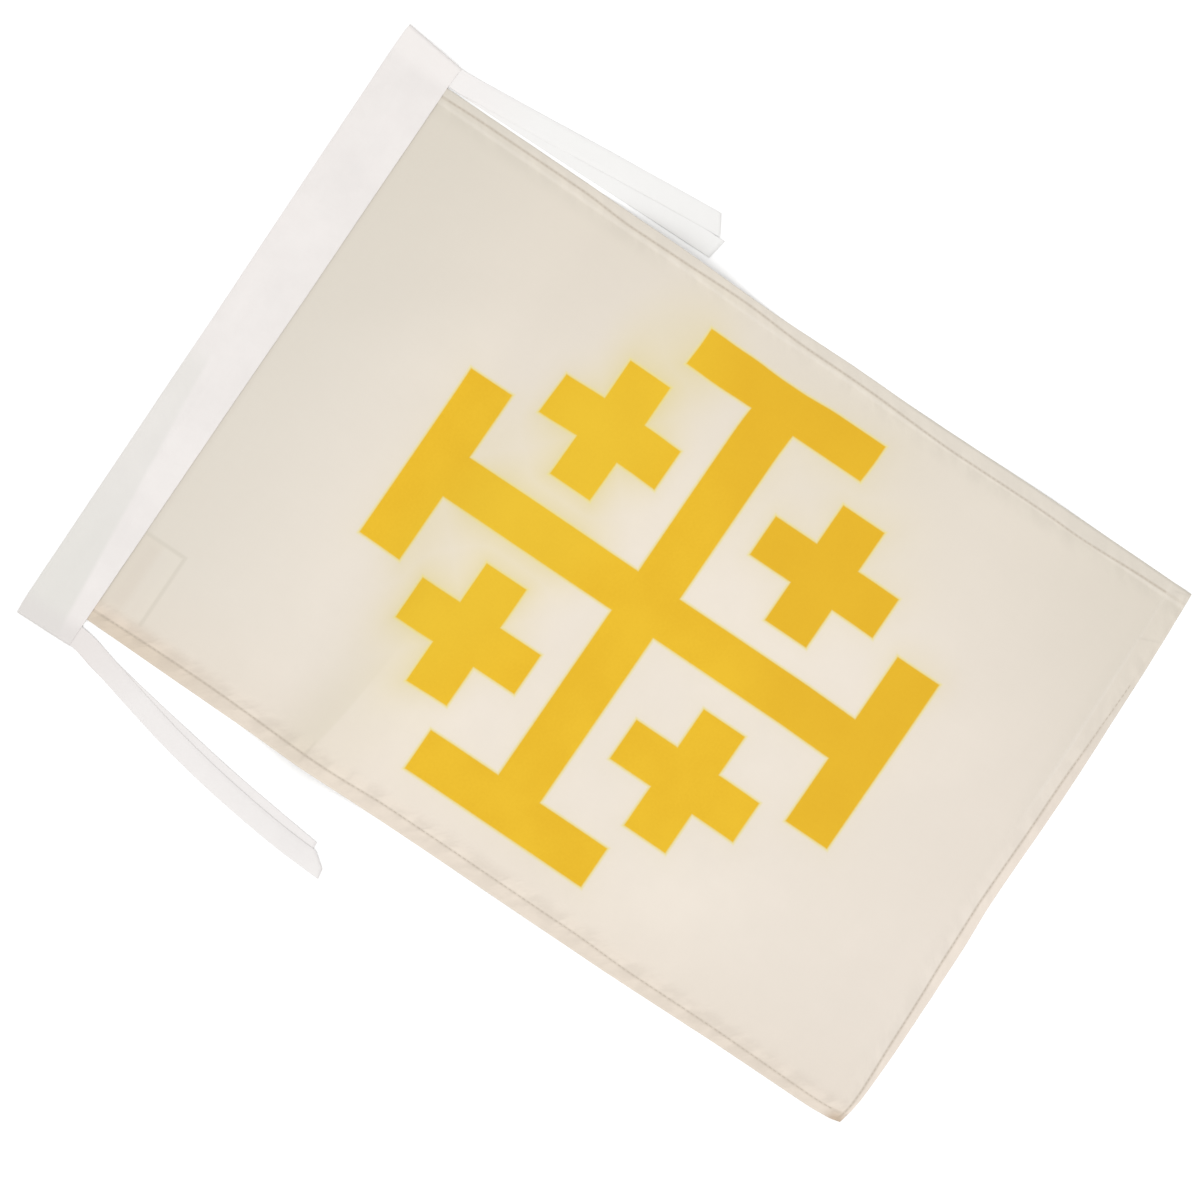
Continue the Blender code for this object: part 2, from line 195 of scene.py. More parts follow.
# Short soft folds across the hems, painted as shade on the flat print: middle, turn, length and half width
Fold = namedtuple("Fold", "x y turn long wide")
FOLDS = table(
    Fold, (204.5, 147.2, 14, 10, 1), (203.5, 119.5, 25, 14, 1.2), (-95, -144, 84, 16, 1.4),
    (211, -147.5, 40, 14, 1),
)

# Soft oval patches of another tone on the flat print, from its middle: inside a share full of its
# reach, a patch has its whole share of the tone
Patch = namedtuple("Patch", "x y reach_x reach_y full share tone")
HAZE = (227, 209, 118)
CREAM_PATCHES = table(
    Patch,
    (-215, 150, 85, 210, 0, 0.4, (216, 210, 197)),
    (215, 140, 110, 150, 0.2, 0.35, (216, 208, 194)),
    (150, -70, 75, 70, 0, 0.5, (241, 231, 219)),
)
BY_CREASE = Patch(-71, 0, 55, 160, 0.35, 0.45, HAZE)
HAZE_PATCHES = table(
    Patch,
    (52, 85, 80, 75, 0.2, 0.16, HAZE),
    (122, 45, 30, 25, 0.2, 0.14, HAZE),
)
HAZE_OVER_PLUS = Patch(-57, 100, 42, 52, 0.3, 0.13, HAZE)
DARK_CORNER = Patch(212.5, -151.5, 10.5, 8.5, 0.2, 0.7, (182, 154, 124))

# The heading, section by section from the foot
Tape = namedtuple("Tape", "y fold_y fold_x seam_x fold_rise seam_rise")
HEADING = table(
    Tape, (-13.9, -14.6, -29.9, -1.4, 1.5, ON_RIBBONS), (-8, -8.4, -30.4, -1.5, 2, ON_RIBBONS),
    (-2.6, -2.8, -30.5, -1.5, 2.2, ON_RIBBONS), (1, 1, -30.5, -1.5, 2, ON_HEM + 0.3),
    (10, 10, -30.6, -1.5, 1.7, ON_HEM), (14, 14, -30.6, -1.5, 1.6, ON_TWO + 0.1),
    (48, 48, -30.7, -1.4, 1.9, ON_TWO), (86, 86, -30.8, -1.3, 1.4, ON_TWO),
    (112, 112, -30.9, -1.2, 2.3, ON_TWO), (146, 146, -30.9, -1, 1.5, ON_TWO),
    (190, 190, -31.2, -0.7, 1.8, ON_TWO), (238, 238, -31.5, -0.7, 1.4, ON_TWO),
    (286, 286, -31.7, -0.6, 1.7, ON_TWO + 0.1), (291, 291.2, -31.8, -0.6, 1.9, ON_HEM),
    (303.2, 304, -31.8, -0.6, 2.2, ON_RIBBONS), (309, 311.6, -31.7, -0.4, 1.9, ON_RIBBONS),
    (313.8, 317.6, -31.3, 0, 1.5, ON_RIBBONS),
)
# Soft dents and swellings in the heading's top layer
TAPE_DENTS = table(
    Billow, (-24, 92, 26, 5, 90, -0.45), (-15.5, 100, 46, 2.6, 89, 0.35),
    (-23, 30, 24, 6, 84, -0.4), (-9, 54, 30, 6, 92, 0.35), (-8, 148, 44, 6, 88, 0.3),
    (-22, 176, 34, 5, 93, -0.3), (-10, 236, 38, 7, 88, 0.35), (-24, 262, 26, 5, 90, -0.3),
)

# The tails of the ties, from the seam to the free end
Tail = namedtuple("Tail", "x y foot_rise head_rise")
UPPER_UNDER_TAIL = table(
    Tail, (-9, 308.5, ON_ONE, ON_ONE), (1, 308.5, ON_ONE, ON_ONE), (14, 308.6, 0, 0),
    (60, 309.1, 0, 0), (100, 309.8, 0, 0), (149, 310.6, 0, 0),
)
UPPER_OVER_TAIL = table(
    Tail, (-9, 308.6, ON_TWO, ON_TWO), (1, 308.6, ON_TWO, ON_TWO), (18, 309.9, ON_ONE, ON_ONE),
    (62, 313.8, ON_ONE, ON_ONE), (79, 315.5, 2.1, 0.7), (96, 317.1, 1.9, 0), (125, 319.6, 1.5, 0),
    (146, 321.2, ON_ONE, 0),
)
LOWER_UNDER_TAIL = table(
    Tail, (-9, -8.2, ON_ONE, ON_ONE), (0.5, -8.5, ON_ONE, ON_ONE), (15.7, -12, 0, 0),
    (38.6, -16.1, 0, 0), (65.6, -20.4, 0, 0), (92.6, -24.5, 0, 0), (119.6, -27.7, 0, 0),
    (149, -30.9, 0, 0),
)
LOWER_OVER_TAIL = table(
    Tail, (-9, -8.2, ON_TWO, ON_TWO), (0.5, -8.5, ON_TWO, ON_TWO), (21, -13, ON_ONE, ON_ONE),
    (41, -18, ON_ONE, 1.5), (65.6, -23.7, 1, 1.9), (98, -29.3, 0.8, 2.1), (133, -33.2, 0.8, 2.1),
    (150, -34.1, 0.8, 2), (158, -34.4, 0.3, 1.2),
)
# Where each tail is cut, at its two sides and its middle, and the loose tails' small waves
Cut = namedtuple("Cut", "foot middle head")
UPPER_UNDER_CUT = Cut(146.5, 147.6, 148.5)
UPPER_OVER_CUT = Cut(145.2, 142.8, 140.1)
LOWER_UNDER_CUT = Cut(148.2, 147.8, 147.0)
LOWER_OVER_CUT = Cut(157.6, 156.6, 149.0)
Wave = namedtuple("Wave", "long high start")
UPPER_WAVES = table(Wave, (74, 0.07, 2.1), (27, 0.025, 0.2))
LOWER_WAVES = table(Wave, (66, 0.07, 0.1), (24, 0.025, 2.2))

# The print: bars of the cross about its middle, in one quarter, which the other three mirror
Bar = namedtuple("Bar", "x y half_x half_y")
PRINT = table(
    Bar, (0, 0, 11.75, 126), (0, 0, 135.2, 11.15), (123.45, 0, 11.75, 47.1), (0, 115.2, 50, 10.8),
    (62, 58.4, 11.65, 32.75), (62, 58.4, 34.9, 10.95),
)
# Where the print's middle line lies, and how heights on the flat print lie up the hoist
PRINT_X = table(
    Edge, (212, 26), (212.2, 60), (213, 152), (213.6, 244), (215, 270),
)
Lie = namedtuple("Lie", "y flat")
PRINT_LIE = table(
    Lie, (-5, -157.5), (26.5, -126), (84, -69.4), (106.3, -47.4), (153.3, -0.2), (200.2, 47.3),
    (244.3, 91.3), (257.8, 104.4), (278, 126), (306, 154.5),
)
FRINGE = 1.7  # how far the ink's pale fringe reaches past its edge
HAZE_NEAR, HAZE_WIDE = 4.0, 16.0  # how quickly its two hazes fade
SLACK = 3.2  # cloth taken up by small gathers beside the crease, from SLACK_FROM back to SLACK_TO
SLACK_FROM = 152
SLACK_TO = 110

# Light and camera
OPEN_LIGHT = 1.08  # the light that comes from all round
KEY_LIGHT = 0.17  # what the soft light from the photo's foot side adds on a flat cloth
KEY_TURN = 56  # degrees from the fly's direction, seen from above, clockwise
KEY_RISE = 50
KEY_SPREAD = 40
LEVEL = OPEN_LIGHT + KEY_LIGHT
FRAME_WIDE = 564.0  # what the photo's width spans on the floor
LENS = 85.0
SENSOR = 36.0
PHOTO_TURN = 34.0
PHOTO_MIDDLE = Vector((-4.0, 0.1, 0))


# Curves and surfaces


def fade(distance, full, gone):
    """1 up to the distance full, 0 from the distance gone, and a smooth slope between."""
    t = min(max((distance - full) / (gone - full), 0), 1)
    return 1 - t * t * (3 - 2 * t)


def curve(rows, by, column):
    """A function that reads one column of a table by another, on a smooth curve through its rows."""
    places = [getattr(row, by) for row in rows]
    values = [getattr(row, column) for row in rows]
    steps = [(v1 - v0) / (p1 - p0) for p0, p1, v0, v1 in zip(places, places[1:], values, values[1:])]
    slopes = [steps[0]]
    for before, after in zip(steps, steps[1:]):
        slopes.append(2 * before * after / (before + after) if before * after > 0 else 0)
    slopes.append(steps[-1])

    def at(place):
        if place <= places[0] or place >= places[-1]:
            return values[0] if place <= places[0] else values[-1]
        k = bisect.bisect_right(places, place) - 1
        step = places[k + 1] - places[k]
        t = (place - places[k]) / step
        start = values[k] * (2 * t**3 - 3 * t**2 + 1) + step * slopes[k] * (t**3 - 2 * t**2 + t)
        return start + values[k + 1] * (3 * t**2 - 2 * t**3) + step * slopes[k + 1] * (t**3 - t**2)

    return at


def curves(rows):
    """A curve for each later column of a table, read by its first column."""
    first, *others = rows[0]._fields
    return [curve(rows, first, column) for column in others]


head_edge = curve(HEAD_EDGE, "x", "y")
foot_edge = curve(FOOT_EDGE, "x", "y")
fly_edge = curve(FLY_EDGE, "y", "x")
head_inset = curve(HEAD_ROW, "at", "inset")
foot_inset = curve(FOOT_ROW, "at", "inset")
fly_inset = curve(FLY_ROW, "at", "inset")
crease_x, crease_top, crease_hoist_side, crease_fly_side, crease_crisp = curves(CREASE)
print_x = curve(PRINT_X, "y", "x")
print_lie = curve(PRINT_LIE, "y", "flat")


def stations(start, *stretches):
    """Places along a line: each stretch is the place where it ends and the longest step in it."""
    places = [start]
    for end, longest in stretches:
        count = math.ceil((end - places[-1]) / longest - 0.01)
        first = places[-1]
        places += [first + (end - first) * (k + 1) / count for k in range(count)]
    return places


def swell(billows, x, y):
    """Height that a table of billows adds at a point."""
    height = 0
    for b in billows:
        c, s = math.cos(math.radians(b.turn)), math.sin(math.radians(b.turn))
        dx, dy = x - b.x, y - b.y
        out = math.hypot((c * dx + s * dy) / b.long, (c * dy - s * dx) / b.wide)
        if out < 1:
            height += b.rise * math.cos(math.pi / 2 * out) ** 2
    return height


def ripple(at, waves):
    """A sum of uneven small waves along a line."""
    return sum(wave.high * math.sin(2 * math.pi * at / wave.long + wave.start) for wave in waves)


def lengths_along(points):
    """How far along a line each of its points is."""
    places = [0.0]
    for before, after in zip(points, points[1:]):
        places.append(places[-1] + (Vector(after) - Vector(before)).length)
    return places


def world(point):
    """A plan point in millimetres as a point of the frame in metres."""
    return (Vector(point) + SHIFT) * MM


def show(name, bm):
    """Turns a bmesh into an object of the scene."""
    mesh = bpy.data.meshes.new(name)
    bm.to_mesh(mesh)
    bm.free()
    mesh.shade_smooth()
    mesh.set_sharp_from_angle(angle=math.radians(50))
    piece = bpy.data.objects.new(name, mesh)
    bpy.context.scene.collection.objects.link(piece)
    return piece


def sheet(name, along, across, place, flat):
    """A grid whose point (i, j) lies at place(i, j) in the plan, and at flat(i, j) on the flat cloth."""
    bm = bmesh.new()
    bmesh.ops.create_grid(bm, x_segments=len(along) - 1, y_segments=len(across) - 1, size=1)
    uv = bm.loops.layers.uv.new("flat")
    flats = {}
    for vert in bm.verts:
        i = round((vert.co.x + 1) / 2 * (len(along) - 1))
        j = round((vert.co.y + 1) / 2 * (len(across) - 1))
        vert.co = world(place(i, j))
        flats[vert] = Vector(flat(i, j)) * MM
    for face in bm.faces:
        for loop in face.loops:
            loop[uv].uv = flats[loop.vert]
    return show(name, bm)


def thicken(piece, thickness, offset, shares=None):
    """Gives an open sheet its thickness: offset 1 is all above it, 0 is half on each side.

    Shares of the thickness, one for each vertex, thin it in places.
    """
    wall = piece.modifiers.new("cloth", "SOLIDIFY")
    wall.thickness = thickness * MM
    wall.offset = offset
    if shares:
        thin = piece.vertex_groups.new(name="thickness")
        for index, share in enumerate(shares):
            thin.add([index], share, "REPLACE")
        wall.vertex_group = thin.name
        wall.thickness_vertex_group = 0


def dress(piece, cloth, solid):
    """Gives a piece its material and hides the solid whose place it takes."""
    piece.data.materials.append(cloth)
    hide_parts(solid)
    return piece


# Shader nodes


def feed(tree, sockets, values):
    """Gives sockets their values in order: another node's output, a plain value, or None."""
    for socket, value in zip(sockets, values):
        if isinstance(value, bpy.types.NodeSocket):
            tree.links.new(value, socket)
        elif value is not None:
            socket.default_value = value


def node(tree, kind, *inputs, **settings):
    """Adds a node with its settings and its inputs in order."""
    made = tree.nodes.new(kind)
    for name, value in settings.items():
        setattr(made, name, value)
    feed(tree, made.inputs, inputs)
    return made


def calc(tree, operation, *inputs):
    """The output of a Math node."""
    return node(tree, "ShaderNodeMath", *inputs, operation=operation).outputs[0]


def chain(tree, operation, values):
    """One Math operation carried through values, each a number or a node's output."""
    return reduce(lambda first, second: calc(tree, operation, first, second), values)


def times(tree, *factors):
    """The product of numbers and node outputs."""
    return chain(tree, "MULTIPLY", factors)


def plus(tree, *terms):
    """The sum of numbers and node outputs."""
    return chain(tree, "ADD", terms)


def size(tree, value):
    """A value without its sign."""
    return calc(tree, "ABSOLUTE", value)


def calc3(tree, operation, *inputs):
    """The vector output of a Vector Math node."""
    return node(tree, "ShaderNodeVectorMath", *inputs, operation=operation).outputs[0]


def length(tree, vector):
    """How long a vector is."""
    return node(tree, "ShaderNodeVectorMath", vector, operation="LENGTH").outputs["Value"]


def parts(tree, vector):
    """The three parts of a vector."""
    return node(tree, "ShaderNodeSeparateXYZ", vector).outputs


def clouds(tree, vector, scale, detail, rough):
    """Soft noise from 0 to 1."""
    return node(tree, "ShaderNodeTexNoise", vector, None, scale, detail, rough).outputs[0]


def flat_place(tree):
    """Where a point lies on its piece's flat cloth, in metres."""
    return node(tree, "ShaderNodeUVMap", uv_map="flat").outputs[0]


def attribute(tree, name):
    """A vector that the mesh carries."""
    return node(tree, "ShaderNodeAttribute", attribute_name=name).outputs["Vector"]


def ramp(tree, value, low, high, to_low=0.0, to_high=1.0):
    """A value carried smoothly from the range low to high onto to_low to to_high."""
    return node(
        tree, "ShaderNodeMapRange", value, low, high, to_low, to_high, interpolation_type="SMOOTHSTEP"
    ).outputs[0]


def fall(tree, value, full, gone):
    """1 up to the value full, 0 from the value gone, and a smooth slope between."""
    return ramp(tree, value, full, gone, 1.0, 0.0)


def mingle(tree, share, first, second):
    """One colour mixed with another by a share from 0 to 1."""
    made = node(tree, "ShaderNodeMix", data_type="RGBA")
    feed(tree, (made.inputs[0], made.inputs[6], made.inputs[7]), (share, first, second))
    return made.outputs[2]


def group(name, inputs, outputs):
    """An empty node group: its inputs with their values, None for a vector, and its number outputs."""
    tree = bpy.data.node_groups.new(name, "ShaderNodeTree")
    for label, value in inputs.items():
        kind = "NodeSocketVector" if value is None else "NodeSocketFloat"
        socket = tree.interface.new_socket(label, in_out="INPUT", socket_type=kind)
        if value is not None:
            socket.default_value = value
    for label in outputs:
        tree.interface.new_socket(label, in_out="OUTPUT", socket_type="NodeSocketFloat")
    return tree, tree.nodes.new("NodeGroupInput").outputs, tree.nodes.new("NodeGroupOutput").inputs


def use(tree, shared, *inputs):
    """Puts a node group into a tree and returns its outputs by name."""
    made = node(tree, "ShaderNodeGroup", node_tree=shared)
    feed(tree, made.inputs, inputs)
    return made.outputs


def linear(level):
    """An sRGB level from 0 to 255 as linear light."""
    share = level / 255
    return share / 12.92 if share <= 0.04045 else ((share + 0.055) / 1.055) ** 2.4


def seen(red, green, blue):
    """The paint that looks like this sRGB colour where it lies flat in the scene's light."""
    return (linear(red) / LEVEL, linear(green) / LEVEL, linear(blue) / LEVEL, 1)


def tint(tree, colour, tone, *shares):
    """A colour taken towards a tone, in sRGB levels, by the product of shares."""
    return mingle(tree, times(tree, *shares), colour, seen(*tone))


def weave_group():
    """A plain weave: threads over and under each other, each a little uneven in thickness and tone."""
    tree, given, out = group(
        "plain_weave",
        {"Vector": None, "Warp Count": 3.0, "Weft Count": 3.0, "Slub": 0.3},
        ("Height", "Tone"),
    )
    part = parts(tree, given["Vector"])
    per_metre = math.pi / MM
    warp = times(tree, part[0], given["Warp Count"], per_metre)
    weft = times(tree, part[1], given["Weft Count"], per_metre)
    over = times(tree, calc(tree, "SINE", warp), calc(tree, "SINE", weft))
    round_top = calc(tree, "POWER", size(tree, over), THREAD_ROUNDNESS)
    slubs = []
    for stretch in ((SLUBS_ACROSS, SLUBS_ALONG, 1), (SLUBS_ALONG, SLUBS_ACROSS, 1)):
        slubs.append(clouds(tree, calc3(tree, "MULTIPLY", given["Vector"], stretch), 1.0, 3.0, 0.6))
    tone = times(tree, plus(tree, *slubs, -1.0), given["Slub"])
    tree.links.new(plus(tree, round_top, tone), out["Height"])
    tree.links.new(tone, out["Tone"])
    return tree


def tone_group():
    """Soft uneven tone: wide clouds and finer ones, as in cloth that has been handled."""
    tree, given, out = group("soft_tone", {"Vector": None, "Wide": 12.0, "Fine": 60.0}, ("Tone",))
    wide = clouds(tree, given["Vector"], given["Wide"], 2.0, 0.5)
    fine = clouds(tree, given["Vector"], given["Fine"], 3.0, 0.5)
    tree.links.new(plus(tree, times(tree, wide, 0.7), times(tree, fine, 0.3), -0.5), out["Tone"])
    return tree


def print_group():
    """The printed cross: how far past its edge a point of the flat cloth is, in millimetres."""
    tree, given, out = group("cross_print", {"Vector": None}, ("Past Edge", "Away"))
    quarter = calc3(tree, "ABSOLUTE", calc3(tree, "DIVIDE", given["Vector"], (MM, MM, MM)))
    edges, aways = [], []
    for bar in PRINT:
        from_middle = calc3(tree, "ABSOLUTE", calc3(tree, "SUBTRACT", quarter, (bar.x, bar.y, 0)))
        past = calc3(tree, "SUBTRACT", from_middle, (bar.half_x, bar.half_y, 1))
        edges.append(chain(tree, "MAXIMUM", parts(tree, past)[:2]))
        aways.append(length(tree, calc3(tree, "MAXIMUM", past, (0, 0, 0))))
    tree.links.new(chain(tree, "MINIMUM", edges), out["Past Edge"])
    tree.links.new(chain(tree, "MINIMUM", aways), out["Away"])
    return tree


def hem_group():
    """A sewn hem: the bands outside its rows, painted shade in the rows' grooves and inside the foot hem,
    painted light along its inner folds with painted shade beside them, and its pinches, raised and with
    their light and shade painted.

    Rows is how far a point is past each row, and Folds how far past the inner folds of the head and
    fly hems, in millimetres; Flat is the place on the flat cloth in metres.
    """
    bands = ("Head Band", "Foot Band", "Fly Band", "Foot Hem Shade")
    lines = ("Groove Shade", "Pinch", "Fold Light", "Fold Shade", "Head Edge")
    tree, given, out = group("sewn_hem", {"Rows": None, "Folds": None, "Flat": None}, bands + lines)
    rows, folds, flat = (parts(tree, given[name]) for name in ("Rows", "Folds", "Flat"))
    head_shows = ramp(tree, flat[0], 0.195, 0.200, 1.0, 0.35)
    foot_shows = ramp(tree, flat[0], -0.100, -0.020, 1.0, 0.65)
    fly_shows = ramp(tree, flat[1], 0.030, 0.098, 1.0, 0.1)
    hems = (
        (rows[0], flat[0], head_shows, 1.0),
        (rows[1], flat[0], foot_shows, 1.0),
        (rows[2], flat[1], fly_shows, fly_shows),
    )
    grooves, pinches = [], []
    for seed, (place, along, row_shows, band_shows) in enumerate(hems):
        tree.links.new(times(tree, ramp(tree, place, -0.2, 0.4), band_shows), out[seed])
        # painted shade in the groove along each stitch row
        grooves.append(times(tree, fall(tree, size(tree, place), 0.25, GROOVE_HALF), row_shows))
        slant = times(tree, place, PINCH_SLANT)
        across = plus(tree, times(tree, along, PINCHES), slant)
        spot = node(tree, "ShaderNodeCombineXYZ", across, slant, 7.3 * seed).outputs[0]
        gather = clouds(tree, spot, 1.0, 2.0, 0.5)
        near = times(tree, ramp(tree, place, -10.5, -1.2), ramp(tree, place, 0.2, 4.5, 1.0, 0.5))
        # each pinch paints the light and shade of a gather, lighter or darker, as well as raising it
        pinches.append(times(tree, ramp(tree, gather, 0.34, 0.66, -0.5, 0.5), near))
    # painted shade inside the foot hem
    tree.links.new(ramp(tree, rows[1], -9.0, -0.5), out["Foot Hem Shade"])
    tree.links.new(chain(tree, "MAXIMUM", grooves), out["Groove Shade"])
    weak = times(tree, plus(tree, pinches[0], pinches[2]), 0.55)
    tree.links.new(plus(tree, weak, pinches[1]), out["Pinch"])

    upper = times(tree, ramp(tree, flat[1], 0.000, 0.040), ramp(tree, flat[1], 0.090, 0.130, 1.0, 0.5))
    lights, shades = [], []
    for place, lit, shaded in ((folds[0], 1.0, 1.0), (folds[1], upper, times(tree, upper, 0.5))):
        lights.append(times(tree, fall(tree, size(tree, plus(tree, place, -0.5)), 0.2, 1.3), lit))
        beside = times(tree, ramp(tree, place, -9.0, -1.6), fall(tree, place, -1.2, -0.1))
        shades.append(times(tree, beside, shaded))
    edge = times(tree, ramp(tree, folds[0], 6.7, 7.3), ramp(tree, flat[0], 0.030, 0.060))
    tree.links.new(chain(tree, "MAXIMUM", lights), out["Fold Light"])
    tree.links.new(chain(tree, "MAXIMUM", shades), out["Fold Shade"])
    tree.links.new(edge, out["Head Edge"])
    return tree


WEAVE = weave_group()
TONE = tone_group()
CROSS = print_group()
HEM = hem_group()


def material(name, roughness, shine=0.5):
    """A new material, its node tree, and its shader."""
    made = bpy.data.materials.new(name)
    made.use_nodes = True
    shader = made.node_tree.nodes["Principled BSDF"]
    shader.inputs["Metallic"].default_value = 0
    shader.inputs["Roughness"].default_value = roughness
    shader.inputs["Specular IOR Level"].default_value = shine
    return made, made.node_tree, shader


def relief(tree, shader, height, depth):
    """Raises the surface by a height of 0 to 1 times a depth in millimetres."""
    bump = tree.nodes.new("ShaderNodeBump")
    bump.inputs["Distance"].default_value = depth * MM
    tree.links.new(height, bump.inputs["Height"])
    tree.links.new(bump.outputs[0], shader.inputs["Normal"])


def printed_cloth():
    """Cream polyester with the yellow cross, its hems and the label that shows through, and painted light
    and shade at its crease, seam, label, hems and folds.
    """
    made, tree, shader = material("printed_cloth", 0.78, 0.25)
    flat = flat_place(tree)
    rows, folds = attribute(tree, "hem_place"), attribute(tree, "fold_place")
    weave = use(tree, WEAVE, flat, *CLOTH_WEAVE)
    tone = use(tree, TONE, flat, 9.0, 70.0)["Tone"]
    cross = use(tree, CROSS, flat)
    hem = use(tree, HEM, rows, folds, flat)

    by_crease = pool(tree, flat, BY_CREASE, lean=0.14)
    cream = cream_colour(tree, flat, tone)
    # painted shade on the crease's hoist flank
    cream = crease_painted_shade(tree, cream, flat, folds)
    # painted shadow beside the tape, and painted shade and light at the label's edges
    cream = label_through_and_painted_shade(tree, cream)
    cream = haze_of_print(tree, cream, flat, cross["Away"], by_crease)
    edge = plus(tree, cross["Past Edge"], times(tree, weave["Tone"], 0.5))
    cream = tint(tree, cream, (238, 224, 140), fall(tree, edge, 0.3, FRINGE), 0.75)
    gold = gold_colour(tree, flat, weave["Tone"], by_crease)
    colour = mingle(tree, fall(tree, edge, -0.4, 0.5), cream, gold)
    colour = hem_colour(tree, colour, flat, hem)
    # painted light and shade of the hems' pinches and painted shade of the short folds across the hems,
    # over the weave's thread tone
    shade = plus(
        tree,
        times(tree, weave["Tone"], 0.03),
        times(tree, hem["Pinch"], 0.10),
        times(tree, painted_cross_fold_shade(tree, flat), -0.05),
        1.0,
    )
    tree.links.new(calc3(tree, "MULTIPLY", colour, shade), shader.inputs["Base Color"])
    height = plus(tree, times(tree, weave["Height"], WEAVE_DEPTH), times(tree, hem["Pinch"], PINCH_DEPTH))
    relief(tree, shader, height, 1.0)
    return made


def haze_of_print(tree, cream, flat, away, by_crease):
    """The ink's yellow that spreads into the cloth round the cross, most by the crease."""
    near = calc(tree, "EXPONENT", times(tree, away, -1 / HAZE_NEAR))
    wide = calc(tree, "EXPONENT", times(tree, away, -1 / HAZE_WIDE))
    spreads = [times(tree, by_crease, BY_CREASE.share)]
    for patch in HAZE_PATCHES:
        spreads.append(times(tree, pool(tree, flat, patch), patch.share))
    spread = plus(tree, chain(tree, "MAXIMUM", spreads), 0.02)
    over_plus = times(tree, pool(tree, flat, HAZE_OVER_PLUS), HAZE_OVER_PLUS.share)
    haze = plus(tree, times(tree, near, 0.06), times(tree, wide, spread), over_plus)
    return tint(tree, cream, HAZE, haze)


def gold_colour(tree, flat, threads, by_crease):
    """The ink: a deep yellow, lighter and greener in clouds and by the crease."""
    grain = plus(tree, use(tree, TONE, flat, 30.0, 700.0)["Tone"], times(tree, threads, 0.12))
    gold = mingle(tree, ramp(tree, grain, -0.17, 0.17), seen(236, 187, 34), seen(241, 194, 40))
    to_head_fly = plus(tree, *parts(tree, flat)[:2])
    gold = tint(tree, gold, (230, 179, 34), ramp(tree, to_head_fly, 0.03, 0.10), 0.55)
    return tint(tree, gold, (237, 199, 50), by_crease, 0.4)


def hem_colour(tree, colour, flat, hem):
    """The hems' tones: warmer bands, painted light along the inner folds and painted shade beside them,
    painted shade in the rows' grooves and inside the foot hem, and the dark folded corner.
    """
    along, up, _ = parts(tree, flat)
    by_hoist = ramp(tree, along, -0.200, -0.130, 0.75, 0.20)
    # painted shade inside the foot hem, strongest towards the hoist
    colour = tint(tree, colour, (226, 210, 192), hem["Foot Hem Shade"], by_hoist)
    foot_tone = mingle(tree, ramp(tree, along, -0.20, -0.12), seen(213, 198, 178), seen(231, 218, 203))
    colour = mingle(tree, times(tree, hem["Foot Band"], 0.5), colour, foot_tone)
    colour = tint(tree, colour, (219, 214, 206), hem["Head Band"], 0.2)
    fly_tone = mingle(tree, ramp(tree, up, -0.010, 0.060), seen(245, 231, 217), seen(230, 216, 203))
    colour = mingle(tree, times(tree, hem["Fly Band"], 0.45), colour, fly_tone)
    to_ends = ramp(tree, size(tree, plus(tree, along, 0.010)), 0.040, 0.110, 0.03, 0.24)
    colour = tint(tree, colour, (213, 206, 192), hem["Fold Shade"], to_ends)
    colour = tint(tree, colour, (240, 234, 224), hem["Fold Light"], 0.22)
    colour = tint(tree, colour, (200, 194, 182), hem["Head Edge"], 0.4)
    colour = tint(tree, colour, DARK_CORNER.tone, pool(tree, flat, DARK_CORNER), DARK_CORNER.share)
    # painted shade in the grooves of the stitch rows
    return tint(tree, colour, (186, 173, 156), hem["Groove Shade"], 0.36)


def crease_painted_shade(tree, cream, flat, folds):
    """Painted shade: a soft grey wedge on the hoist side of the crease's lower end, where its flank faces
    away from the light, and a fainter one past it.
    """
    aside = parts(tree, folds)[2]
    slope = times(tree, ramp(tree, aside, -34.0, -4.0), fall(tree, aside, 2.0, 34.0))
    crisp = ramp(tree, aside, -2.2, -0.4, 1.0, 0.5)
    low = fall(tree, parts(tree, flat)[1], -0.125, -0.050)
    return tint(tree, cream, (218, 209, 186), slope, crisp, low, 0.40)


def painted_cross_fold_shade(tree, flat):
    """Painted shade of short soft folds across the hems: by the head corners, and where the crease meets
    the foot.
    """
    folds = []
    for fold in FOLDS:
        off = calc3(tree, "SUBTRACT", flat, (fold.x * MM, fold.y * MM, 0))
        turned = node(tree, "ShaderNodeVectorRotate", off, rotation_type="Z_AXIS")
        turned.inputs["Angle"].default_value = math.radians(-fold.turn)
        part = parts(tree, turned.outputs[0])
        along = fall(tree, size(tree, part[0]), fold.long * MM / 4, fold.long * MM / 2)
        across = fall(tree, size(tree, part[1]), 0.0, fold.wide * MM)
        folds.append(times(tree, along, across))
    return chain(tree, "MAXIMUM", folds)


def pool(tree, flat, patch, lean=0.0):
    """A soft oval patch on the flat cloth: 1 up to a share of its reach, then down to 0.

    It leans towards the fly by a share of the height up the hoist.
    """
    off = calc3(tree, "SUBTRACT", flat, (patch.x * MM, patch.y * MM, 0))
    if lean:
        part = parts(tree, off)
        upright = calc(tree, "SUBTRACT", part[0], times(tree, part[1], lean))
        off = node(tree, "ShaderNodeCombineXYZ", upright, part[1]).outputs[0]
    off = calc3(tree, "DIVIDE", off, (patch.reach_x * MM, patch.reach_y * MM, 1))
    return fall(tree, length(tree, off), patch.full, 1.0)


